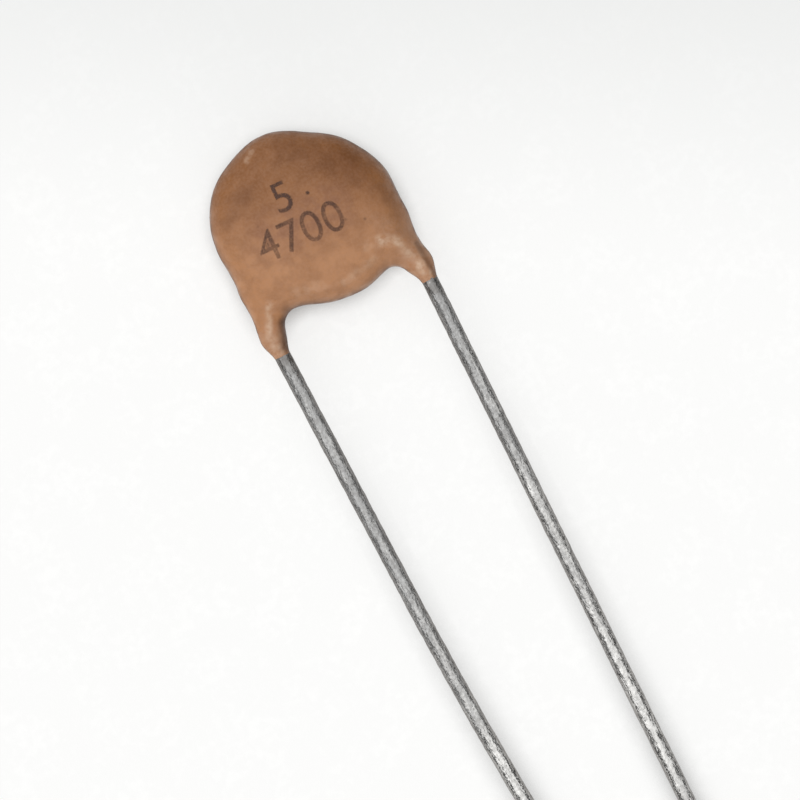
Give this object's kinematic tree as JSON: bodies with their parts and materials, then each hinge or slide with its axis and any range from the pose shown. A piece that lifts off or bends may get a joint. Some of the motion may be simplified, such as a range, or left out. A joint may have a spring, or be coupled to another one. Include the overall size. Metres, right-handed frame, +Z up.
{
  "type": "ceramic disc capacitor",
  "caption": "Round ceramic disc capacitor: a small silvered ceramic disc in a brown dipped resin coat, with two straight tinned wire leads for a circuit board.",
  "frame": {"origin": "centre of the part's outline on the surface that it lies on", "axes": "+Y from the lead ends towards the disc, +Z up out of the marked face"},
  "size_m": [0.0058, 0.0312, 0.0024],
  "materials": {
    "resin": "tan-brown phenolic dip coat, semi-matt, faintly mottled",
    "ceramic": "pressed and fired barium titanate, matt tan",
    "silver": "fired silver film, matt",
    "solder": "tin-rich solder, satin",
    "tinned_wire": "tinned wire, grey, slightly uneven and scuffed"
  },
  "bodies": {
    "root": {"resin_coat": "resin", "ceramic_disc": "ceramic", "front_electrode": "silver", "rear_electrode": "silver", "front_solder": "solder", "rear_solder": "solder", "right_lead": "tinned_wire", "left_lead": "tinned_wire"}
  },
  "joints": []
}
